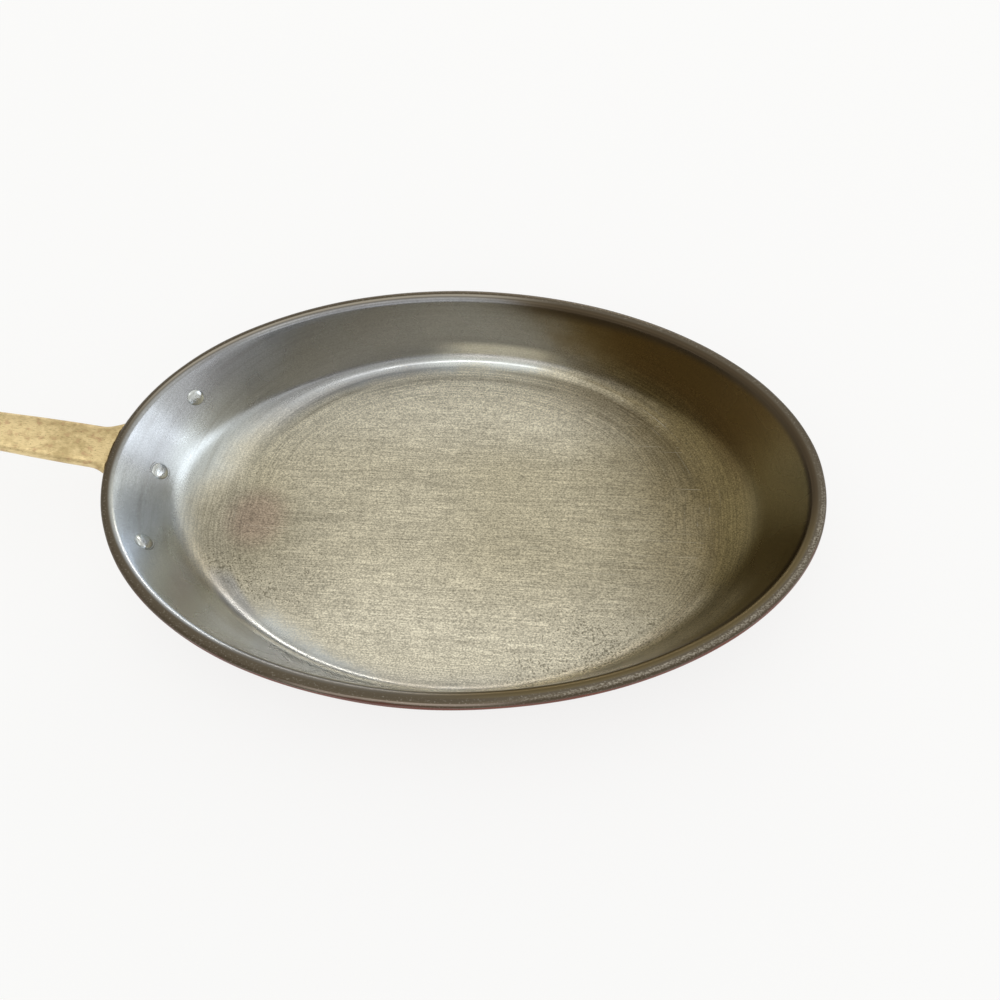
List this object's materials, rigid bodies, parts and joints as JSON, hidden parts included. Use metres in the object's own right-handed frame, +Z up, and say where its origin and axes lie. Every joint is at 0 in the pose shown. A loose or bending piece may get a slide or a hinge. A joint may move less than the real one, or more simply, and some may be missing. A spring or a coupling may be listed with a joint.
{
  "type": "oval gratin pan",
  "caption": "Shallow oval copper pan with splayed walls, a tinned inside, a rolled rim over a wire and one long cast brass handle riveted to its end.",
  "frame": {"origin": "centre of the flat bottom, on the plane that the pan rests on", "axes": "+Z up, +X along the pan's long way, away from the handle, +Y across the pan, away from the picture's camera"},
  "size_m": [0.4282, 0.1702, 0.0704],
  "materials": {
    "copper": "aged satin copper",
    "tin": "worn hand-wiped tin",
    "iron_wire": "drawn iron wire, hidden in the bead",
    "cast_brass": "cast and filed brass, dulled",
    "rivet_copper": "hammered copper, heads tinned inside"
  },
  "bodies": {
    "root": {"pan_shell": "copper", "tin_lining": "tin", "rim_wire": "iron_wire", "handle": "cast_brass", "rivet_far": "rivet_copper", "rivet_middle": "rivet_copper", "rivet_near": "rivet_copper"}
  },
  "joints": []
}
